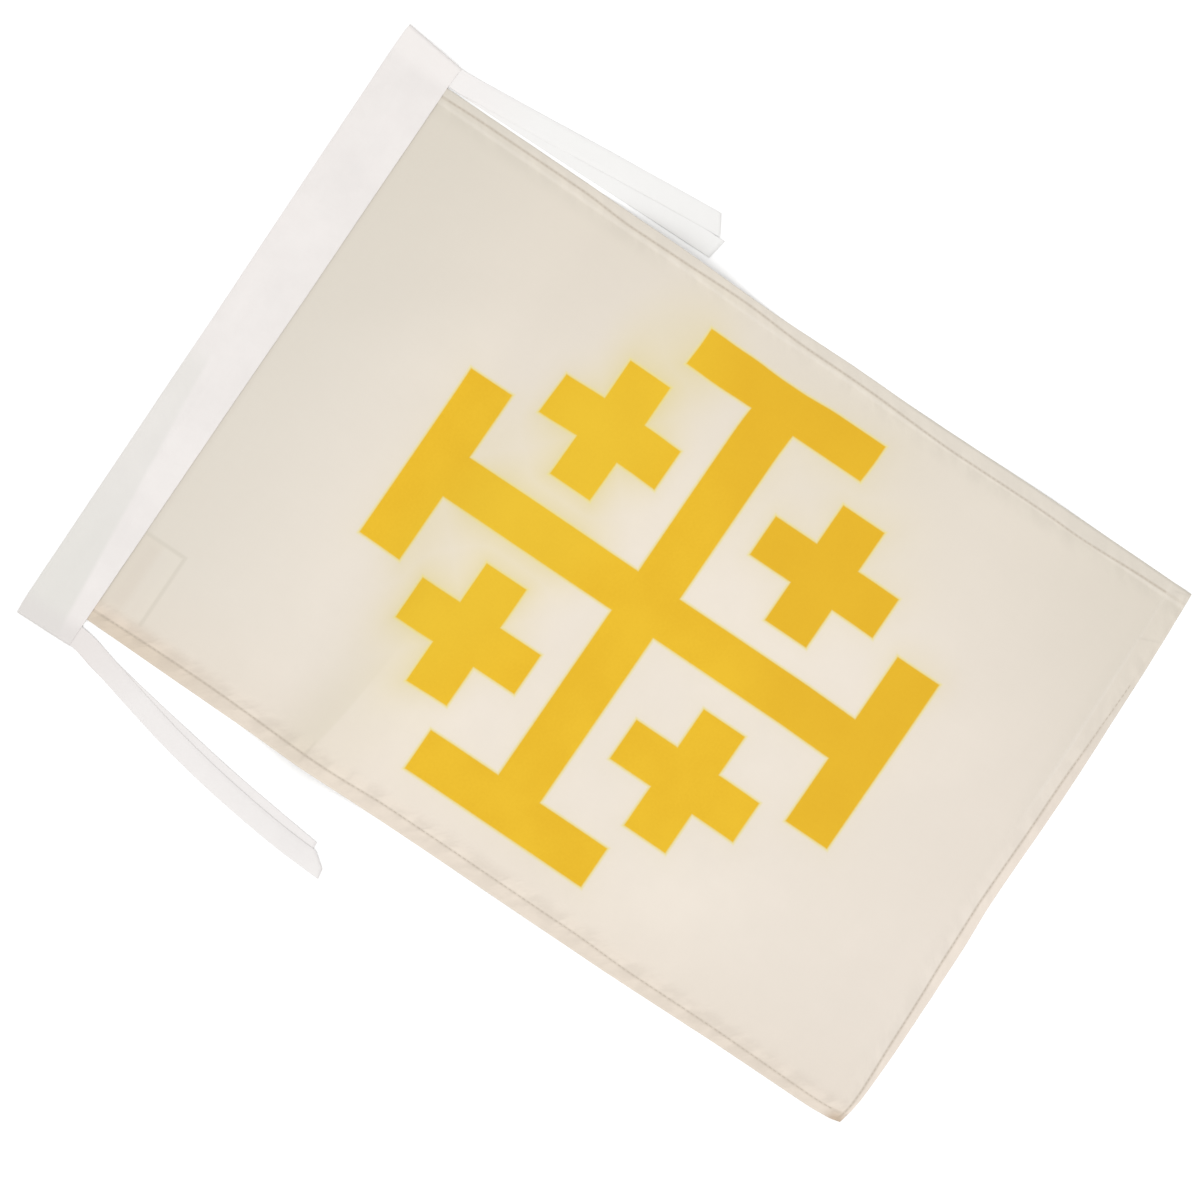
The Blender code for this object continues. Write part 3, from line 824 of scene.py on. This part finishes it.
def cream_colour(tree, flat, tone):
    """The unprinted cloth: warmest and lightest in the middle, greyer towards the hoist."""
    along, up, _ = parts(tree, flat)
    colour = mingle(tree, fall(tree, along, -0.250, -0.06), seen(243, 233, 220), seen(226, 219, 207))
    colour = tint(tree, colour, (232, 222, 211), ramp(tree, along, 0.06, 0.23), 0.7)
    colour = tint(tree, colour, (229, 220, 206), ramp(tree, up, 0.01, 0.165), 0.9)
    colour = tint(tree, colour, (234, 221, 206), fall(tree, up, -0.155, -0.10), 0.4)
    for patch in CREAM_PATCHES:
        colour = tint(tree, colour, patch.tone, pool(tree, flat, patch), patch.share)
    return tint(tree, colour, (224, 215, 201), ramp(tree, tone, -0.15, 0.15), 0.18)


def label_through_and_painted_shade(tree, cloth):
    """Painted shadow on the cloth beside the tape, and the label showing through: painted shade makes it
    darkest along its sides, where the cloth drops off it, with a painted light rim just inside them.
    """
    place = node(tree, "ShaderNodeTexCoord").outputs["Object"]
    from_tape = parts(tree, calc3(tree, "SUBTRACT", place, world((0, 0, 0))))[0]
    # painted shadow of the tape's edge on the cloth beside it
    cloth = tint(tree, cloth, (210, 201, 189), fall(tree, from_tape, -0.3 * MM, 3.2 * MM), 0.22)
    middle = world(((LABEL_SEAM_X + LABEL_FREE_X) / 2, (LABEL_FOOT + LABEL_HEAD) / 2, 0))
    off = calc3(tree, "SUBTRACT", place, middle)
    half = (LABEL_HALF_X * MM, LABEL_HALF_Y * MM, 1)
    past = parts(tree, calc3(tree, "SUBTRACT", calc3(tree, "ABSOLUTE", off), half))
    edge = times(tree, chain(tree, "MAXIMUM", past[:2]), 1 / MM)
    from_middle = parts(tree, off)
    by_seam = fall(tree, from_middle[0], -2.5 * MM, 2.5 * MM)
    cloth = tint(tree, cloth, (216, 203, 187), fall(tree, edge, -1.5, 0.3), by_seam, 0.3)
    # a painted light rim on the raised cloth just inside the label's edges
    painted_rim_light = times(tree, ramp(tree, edge, -6.0, -2.0), fall(tree, edge, -1.4, -0.4))
    cloth = tint(tree, cloth, (236, 229, 214), painted_rim_light, 0.16)
    above_foot = ramp(tree, from_middle[1], -LABEL_HALF_Y * MM, (2 - LABEL_HALF_Y) * MM)
    # painted shade along the label's sides and head, where the cloth drops off it
    return tint(tree, cloth, (208, 201, 186), fall(tree, size(tree, edge), 0.2, 1.6), above_foot, 0.4)


def plain_fabric(name, light, dark, threads, depth, roughness, painted_shade_and_tone=None):
    """A plain white woven fabric between two tones, with its painted shade and other tones where those are
    given.
    """
    made, tree, shader = material(name, roughness, 0.3)
    flat = flat_place(tree)
    weave = use(tree, WEAVE, flat, *threads)
    tone = use(tree, TONE, flat, 18.0, 90.0)["Tone"]
    cloud = ramp(tree, plus(tree, tone, times(tree, weave["Tone"], 0.15)), -0.2, 0.2)
    colour = mingle(tree, cloud, seen(*light), seen(*dark))
    if painted_shade_and_tone:
        colour = painted_shade_and_tone(tree, parts(tree, flat), colour)
    tree.links.new(colour, shader.inputs["Base Color"])
    relief(tree, shader, weave["Height"], depth)
    return made


def ribbon_fabric(name, light, dark, root):
    """A white ribbon between two tones, with a third towards its doubled middle."""

    def painted_shade_and_tone(tree, part, white):
        from_middle = size(tree, plus(tree, part[0], -RIBBON_MIDDLE * MM))
        return tint(tree, white, root, ramp(tree, from_middle, 0.015, 0.060, 0.9, 0.0))

    return plain_fabric(name, light, dark, RIBBON_WEAVE, 0.03, 0.55, painted_shade_and_tone)


def heading_painted_shade(tree, part, white):
    """Painted shade on the tape's outer side along its lower half, where the top layer sags into soft
    dents; the tape is also greyer at its foot end and paler at its head end.
    """
    slanted = plus(tree, part[0], times(tree, part[1], 0.083))
    outer = fall(tree, slanted, 0.0498, 0.0525)
    lower = fall(tree, part[1], 0.126, 0.142)
    most = ramp(tree, part[1], 0.025, 0.080, 0.78, 0.50)
    # painted shade of the soft dents on the tape's outer side
    colour = tint(tree, white, (230, 228, 222), outer, lower, most)
    colour = tint(tree, colour, (228, 223, 220), fall(tree, part[1], -0.009, 0.001), 0.7)
    return tint(tree, colour, (250, 245, 242), ramp(tree, part[1], 0.298, 0.306), 0.7)


# The field


def crease_rise(x, y):
    """Height of the packing crease: a rounded ridge that is crisper at the foot."""
    aside = x - crease_x(y)
    reach = crease_fly_side(y) if aside > 0 else crease_hoist_side(y)
    share = min((math.hypot(aside, CREST) - CREST) / (reach - CREST / 2), 1)
    crisp = crease_crisp(y)
    profile = crisp * (1 - share) ** 2 + (1 - crisp) * math.cos(math.pi / 2 * share) ** 2
    return crease_top(y) * profile


def hem_place(x, y):
    """How far past each hem's stitch row a point is, towards the head, the foot and the fly."""
    head = y - (head_edge(x) - head_inset(x))
    foot = foot_edge(x) + foot_inset(x) - y
    fly = x - (fly_edge(y) - fly_inset(y))
    return head, foot, fly


def cloth_thickness(x, y):
    """One layer, three in the hems, rounded at the hems' folds and drawn in along the stitches."""
    from_head = head_edge(x) - y
    from_foot = y - foot_edge(x)
    from_fly = fly_edge(y) - x
    soft = 0.5 + 2.5 * fade(y, 120, 200)
    in_hem = max(
        fade(from_head, HEAD_HEM - 0.8, HEAD_HEM + 0.6),
        fade(from_foot, FOOT_HEM - 1.4, FOOT_HEM + 1.8),
        fade(from_fly, FLY_HEM - soft, FLY_HEM + soft),
    )
    from_edge = min(from_head, from_foot, from_fly)
    head, foot, fly = hem_place(x, y)
    fly_sewn = fade(y, FLY_ROW_END - 6, FLY_ROW_END + 6)
    drawn = [fade(abs(past), 0.1, SEWN_HALF) for past in (head, foot, fly)]
    drawn = max(drawn[0], drawn[1], drawn[2] * fly_sewn)
    full = CLOTH + (HEM_THICK - CLOTH) * in_hem
    return full * (1 - 0.5 * fade(from_edge, 0, 1.0)) - SEWN_DENT * drawn * in_hem


def gathers(at, past, seed):
    """Height of the gathers beside a stitch row: uneven small swellings that slant away from it."""
    swelling = noise.noise(Vector(((at + 0.5 * past) / 8, past / 18, seed)))
    return PUCKER * (0.5 + swelling) * fade(abs(past), 0.4, 10)


def fold_place(x, y):
    """How far past the inner folds of the head and fly hems a point is, and past the crease's top."""
    return y - (head_edge(x) - HEAD_HEM), x - (fly_edge(y) - FLY_HEM), x - crease_x(y)


def cloth_rise(x, y):
    """Height of the field's underside: on the heading's back layer, over the label, or free."""
    from_label = math.hypot(max(x - LABEL_FREE_X, 0), max(LABEL_FOOT - y, y - LABEL_HEAD, 0))
    held = LAYERS * ON_ONE * max(fade(x, 1.5, 26), fade(from_label, 0.3, 3.0))
    head, foot, fly = hem_place(x, y)
    puckers = gathers(x, head, 3.4) + gathers(x, foot, 12.2) + gathers(y, fly, 7.3)
    lifted = max(puckers, 0) * (1 - fade(x, 0, 8))
    return FLOOR_GAP + held + crease_rise(x, y) + swell(BILLOWS, x, y) + lifted


def field_plan(along, up):
    """Where the cloth's point (along, up) lies in the plan."""
    lean = fade(abs(along - CREASE_MID), 0, CREASE_REACH)
    x = along + lean * (crease_x(up) - CREASE_MID)
    x *= fly_edge(up) / FLY if along > 0 else 1
    foot = foot_edge(x)
    return x, foot + (head_edge(x) - foot) * up / HOIST


def flat_along(points, y):
    """Each point's place along the flat cloth, from the print's middle, for one thread's points."""
    places = lengths_along(points)
    middle = print_x(y)
    k = bisect.bisect_right([p[0] for p in points], middle) - 1
    share = (middle - points[k][0]) / (points[k + 1][0] - points[k][0])
    start = places[k] + share * (places[k + 1] - places[k])
    return [place - start - SLACK * fade(p[0], SLACK_TO, SLACK_FROM) for place, p in zip(places, points)]


def pulled(x, y):
    """How far folding and sewing have drawn the cloth off its square at a point: to the fly, and up."""
    above = 1 - fade(y, 150, 200)
    to_fly = 1.2 * fade(abs(x - 142), 20, 42) * above
    to_fly += 1.1 * fade(abs(x - 146), 24, 44) * (1 - fade(y, 196, 226)) * fade(y, 246, 258)
    up = 0.6 * fade(abs(x - 158), 12, 34) * above - 0.2 * fade(x, 110, 150) * above
    up -= 0.6 * fade(abs(x - 152), 24, 44) * (1 - fade(y, 224, 242))
    up -= 0.7 * fade(abs(x - 122), 4, 40) * fade(y, 80, 140)
    up -= 1.0 * fade(abs(x - 213), 4, 26) * (1 - fade(y, 262, 276))
    up -= 0.7 * (1 - fade(x, 290, 330)) * fade(abs(y - 150), 50, 90)
    return to_fly, up


def make_field():
    """The printed cloth with its hems, one sheet."""
    along = stations(
        -TURN_IN, (-2, 5), (4, 1.5), (104, 2.6), (150, 1.6), (FLY - 13, 2.6), (FLY - 1, 0.6), (FLY, 0.35),
    )
    up = stations(
        0, (1, 0.35), (HEM_WIDE + 1, 0.55), (HOIST - HEM_WIDE - 1, 2.4), (HOIST - 1, 0.55), (HOIST, 0.35),
    )
    rows = []
    for v in up:
        points = []
        for u in along:
            x, y = field_plan(u, v)
            points.append((x, y, cloth_rise(x, y)))
        rows.append(points)
    flats = [flat_along(points, v) for points, v in zip(rows, up)]

    def flat(i, j):
        x, y, _ = rows[j][i]
        to_fly, up_hoist = pulled(x, y)
        return flats[j][i] - to_fly, print_lie(y - up_hoist)

    field = sheet("flag_cloth", along, up, lambda i, j: rows[j][i], flat)
    points = [vert.co / MM - SHIFT for vert in field.data.vertices]
    thicken(field, HEM_THICK, 1, [cloth_thickness(point.x, point.y) / HEM_THICK for point in points])
    for name, place in (("hem_place", hem_place), ("fold_place", fold_place)):
        places = field.data.attributes.new(name, "FLOAT_VECTOR", "POINT")
        for index, point in enumerate(points):
            places.data[index].vector = place(point.x, point.y)
    return dress(field, printed_cloth(), "field")


# The heading


tape_fold_y, tape_fold_x, tape_seam_x, tape_fold_rise, tape_seam_rise = curves(HEADING)
BACK_STEPS = 5
FOLD_STEPS = 10
TOP_STEPS = 22


def heading_section(up):
    """The folded tape's middle line at a height up the hoist: back layer, fold, top layer."""
    fold_x, seam_x = tape_fold_x(up), tape_seam_x(up) + TAPE_PAST
    back = FLOOR_GAP + TAPE / 2
    outer = LAYERS * (tape_fold_rise(up) + 1) + TAPE_LOFT
    inner = LAYERS * tape_seam_rise(up) + FLOOR_GAP + TAPE / 2
    radius = (outer - back) / 2
    centre_x = fold_x + TAPE / 2 + radius
    line = [(seam_x + (centre_x - seam_x) * k / BACK_STEPS, back) for k in range(BACK_STEPS)]
    for k in range(FOLD_STEPS + 1):
        turn = math.pi * k / FOLD_STEPS
        line.append((centre_x - radius * math.sin(turn), back + radius * (1 - math.cos(turn))))
    top = [centre_x + (seam_x - centre_x) * k / TOP_STEPS for k in range(1, TOP_STEPS)]
    for x in top + [seam_x - 0.5, seam_x - 0.2, seam_x]:
        stepped = fade(x, STEP_FOOT_X, STEP_TOP_X)
        over_field = min(max((x - STEP_FOOT_X) / (seam_x - STEP_FOOT_X), 0), 1)
        crown = TAPE_CROWN * math.sin(math.pi * over_field) ** 0.7
        pressed = TAPE_SEAM_DENT * fade(abs(x - seam_x + TAPE_SEAM_IN), 0.2, 1.4)
        pressed += TAPE_DROOP * fade(seam_x - x, 0, 1.6)
        z = outer * stepped + (inner + crown) * (1 - stepped) - pressed
        line.append((x, z + swell(TAPE_DENTS, x, up) * fade(abs(x - centre_x), 30, 31)))
    return line


def heading_point(up, section, k):
    """Point k of the folded tape's section, slanted with the tape's cut ends."""
    x, z = section[k]
    fold_x, seam_x = tape_fold_x(up), tape_seam_x(up) + TAPE_PAST
    share = (seam_x - x) / (seam_x - fold_x)
    return x, up + share * (tape_fold_y(up) - up), z


def make_heading():
    """The white tape folded over the field's hoist edge and past both its ends."""
    up = stations(HEADING[0].y, (14, 1.6), (286, 3.0), (HEADING[-1].y, 1.6))
    sections = [heading_section(v) for v in up]
    across = [lengths_along(section) for section in sections]
    heading = sheet(
        "heading_tape",
        up,
        range(len(sections[0])),
        lambda i, k: heading_point(up[i], sections[i], k),
        lambda i, k: (across[i][k], up[i]),
    )
    shares = []
    for vert in heading.data.vertices:
        point = vert.co / MM - SHIFT
        at_edge = fade(tape_seam_x(point.y) + TAPE_PAST - point.x, 0, 0.8) if point.z > 0.5 else 0
        shares.append(1 - 0.6 * at_edge)
    thicken(heading, TAPE, 0, shares)
    light, dark = (246, 241, 238), (239, 234, 231)
    fabric = plain_fabric("heading_tape", light, dark, TAPE_WEAVE, 0.05, 0.8, heading_painted_shade)
    return dress(heading, fabric, "heading")


# The ties


ACROSS = (-1, -0.94, -0.5, 0, 0.5, 0.94, 1)
TAIL_STEPS = 70
TIE_FOLD_STEPS = 6


def tail_points(rows, cut, waves, root):
    """A function that gives a tail's middle sheet: share of its length, and side from -1 to 1."""
    middle_y, foot_rise, head_rise = curves(rows)
    start = rows[0].x

    def point(share, side):
        end = cut.middle + (cut.foot - cut.middle) * max(-side, 0) + (cut.head - cut.middle) * max(side, 0)
        x = start + (end - start) * share
        slope = (middle_y(x + 1) - middle_y(x - 1)) / 2
        out = Vector((-slope, 1)).normalized() * side * RIBBON_WIDE / 2
        layers = RIBBON_LAYERS + (root - RIBBON_LAYERS) * fade(x, 1, 14)
        rise = layers * ((foot_rise(x) + head_rise(x)) / 2 + side * (head_rise(x) - foot_rise(x)) / 2)
        loose = 1 - fade(x, 2, 30)
        lift = loose * (TAIL_LIFT + ripple(x, waves) * (1 + 0.3 * side))
        return x + out.x, middle_y(x) + out.y, FLOOR_GAP + rise + lift

    return point


def tie(name, under, under_cut, over, over_cut, waves):
    """One ribbon doubled: along the under tail to its fold in the heading, and back along the over."""
    under_point = tail_points(under, under_cut, waves, LAYERS)
    over_point = tail_points(over, over_cut, waves, OVER_ROOT)
    shares = [k / TAIL_STEPS for k in range(TAIL_STEPS + 1)]
    along = [("under", share) for share in reversed(shares)]
    along += [("fold", (k + 0.5) / TIE_FOLD_STEPS) for k in range(TIE_FOLD_STEPS)]
    along += [("over", share) for share in shares]
    radius = (OVER_ROOT * ON_TWO - LAYERS * ON_ONE - RIBBON) / 2

    def place(i, j):
        part, share = along[i]
        side = ACROSS[j]
        if part == "under":
            x, y, underside = under_point(share, side)
            return x, y, underside + RIBBON
        if part == "over":
            return over_point(share, side)
        turn = math.pi * share
        z = FLOOR_GAP + LAYERS * ON_ONE + RIBBON + radius * (1 - math.cos(turn))
        return RIBBON_FOLD_X - radius * math.sin(turn), under[0].y + side * RIBBON_WIDE / 2, z

    lengths = lengths_along([place(i, ACROSS.index(0)) for i in range(len(along))])
    piece = sheet(name, along, ACROSS, place, lambda i, j: (lengths[i], ACROSS[j] * RIBBON_WIDE / 2))
    past_fold = lengths[TAIL_STEPS + 1 + TIE_FOLD_STEPS] + 20
    shares = [1.0] * len(piece.data.vertices)
    for loop, where in zip(piece.data.loops, piece.data.uv_layers["flat"].data):
        along_ribbon, aside = where.uv / MM
        from_edge = min(RIBBON_WIDE / 2 - abs(aside), lengths[-1] - along_ribbon)
        edge = fade(from_edge, 0, 0.3) if along_ribbon > past_fold else 0
        shares[loop.vertex_index] = 1 - 0.75 * edge
    thicken(piece, RIBBON, 1, shares)
    piece["cut_length"] = lengths[-1]
    return piece


def make_ties():
    """The doubled ribbons at both ends of the heading."""
    bright = ribbon_fabric("upper_ribbon", (249, 248, 246), (247, 246, 244), (247, 243, 241))
    dull = ribbon_fabric("lower_ribbon", (245, 241, 239), (241, 237, 235), (236, 230, 227))
    upper_tails = (UPPER_UNDER_TAIL, UPPER_UNDER_CUT, UPPER_OVER_TAIL, UPPER_OVER_CUT)
    lower_tails = (LOWER_UNDER_TAIL, LOWER_UNDER_CUT, LOWER_OVER_TAIL, LOWER_OVER_CUT)
    upper = tie("upper_tie_ribbon", *upper_tails, UPPER_WAVES)
    lower = tie("lower_tie_ribbon", *lower_tails, LOWER_WAVES)
    dress(upper, bright, "upper_tie")
    dress(lower, dull, "lower_tie")
    return upper, lower


# The label


def make_label():
    """The plain label behind the field, its side at the seam."""
    sides = stations(LABEL_SEAM_X, (LABEL_FREE_X, 2))
    ends = stations(LABEL_FOOT, (LABEL_HEAD, 2))
    label = sheet(
        "label_patch",
        sides,
        ends,
        lambda i, j: (sides[i], ends[j], FLOOR_GAP),
        lambda i, j: (sides[i], ends[j]),
    )
    thicken(label, CLOTH, 1)
    fabric = plain_fabric("label_cloth", (244, 242, 234), (238, 236, 228), LABEL_WEAVE, 0.02, 0.6)
    return dress(label, fabric, "label")


# Sewing thread


def stitch_row(bm, line):
    """Lays small stitches end to end along a line of plan points, each a slim bead of thread."""
    shape = Matrix.Diagonal((THREAD_WIDE / 2 * MM, THREAD_WIDE / 2 * MM, STITCH_LONG / 2 * MM, 1))
    gone = 0.0
    for before, after in zip(line, line[1:]):
        step = (after - before).length
        gone += step
        if gone < STITCH_PITCH:
            continue
        gone -= STITCH_PITCH
        turn = Vector((0, 0, 1)).rotation_difference(after - before).to_matrix().to_4x4()
        matrix = Matrix.Translation(world(after)) @ turn @ shape
        bmesh.ops.create_uvsphere(bm, u_segments=6, v_segments=4, radius=1, matrix=matrix)


def make_stitches():
    """The stitch rows of the three hems, in one piece."""
    bm = bmesh.new()

    def on_cloth(x, y):
        return Vector((x, y, cloth_rise(x, y) + cloth_thickness(x, y) + THREAD_RISE))

    xs = [2 + k * THREAD_STEP for k in range(int((FLY - 10) / THREAD_STEP))]
    ys = [4 + k * THREAD_STEP for k in range(int((FLY_ROW_END - 4) / THREAD_STEP))]
    stitch_row(bm, [on_cloth(x, head_edge(x) - head_inset(x)) for x in xs if x < HEAD_ROW_END])
    stitch_row(bm, [on_cloth(x, foot_edge(x) + foot_inset(x)) for x in xs])
    stitch_row(bm, [on_cloth(fly_edge(y) - fly_inset(y), y) for y in ys])
    thread = show("hem_stitches", bm)
    made, tree, shader = material("sewing_thread", 0.6)
    twist = clouds(tree, node(tree, "ShaderNodeTexCoord").outputs["Object"], 900.0, 2.0, 0.5)
    # the thread is taupe, darker than the cloth: partly its own colour and partly painted shade of the
    # groove it lies in
    colour = mingle(tree, twist, seen(211, 200, 184), seen(195, 183, 167))
    tree.links.new(colour, shader.inputs["Base Color"])
    thread.data.materials.append(made)
    return thread


# Floor, light and camera


def make_floor():
    """A plain pale floor."""
    bm = bmesh.new()
    bmesh.ops.create_grid(bm, x_segments=1, y_segments=1, size=4)
    floor = show("floor", bm)
    made, _, shader = material("pale_floor", 1.0, 0.0)
    shader.inputs["Base Color"].default_value = (0.95, 0.95, 0.95, 1)
    floor.data.materials.append(made)


def make_light():
    """Soft light from all round, and a little more from the photo's foot side."""
    sky = bpy.data.worlds.new("studio")
    sky.use_nodes = True
    feed(sky.node_tree, sky.node_tree.nodes["Background"].inputs, ((1, 1, 1, 1), OPEN_LIGHT))
    bpy.context.scene.world = sky
    sun = bpy.data.lights.new("key", "SUN")
    rise = math.radians(KEY_RISE)
    sun.energy = KEY_LIGHT * math.pi / math.sin(rise)
    sun.angle = math.radians(KEY_SPREAD)
    key = bpy.data.objects.new("key", sun)
    turn = math.radians(-KEY_TURN)
    towards = Vector((math.cos(turn) * math.cos(rise), math.sin(turn) * math.cos(rise), math.sin(rise)))
    key.rotation_euler = towards.to_track_quat("Z", "Y").to_euler()
    bpy.context.scene.collection.objects.link(key)
    bpy.context.scene.view_settings.view_transform = "Standard"


def make_camera():
    """Straight above the flag, turned as the photograph is."""
    lens = bpy.data.cameras.new("camera")
    lens.lens = LENS
    lens.sensor_width = SENSOR
    camera = bpy.data.objects.new("camera", lens)
    height = FRAME_WIDE * LENS / SENSOR
    camera.location = (PHOTO_MIDDLE + Vector((0, 0, height))) * MM
    camera.rotation_euler = (0, 0, math.radians(PHOTO_TURN))
    bpy.context.scene.collection.objects.link(camera)
    bpy.context.scene.camera = camera


def main():
    field = make_field()
    heading = make_heading()
    upper, lower = make_ties()
    label = make_label()
    stitches = make_stitches()
    for piece in (field, heading, upper, lower, label, stitches):
        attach(piece, "root")
    make_floor()
    make_light()
    make_camera()


main()
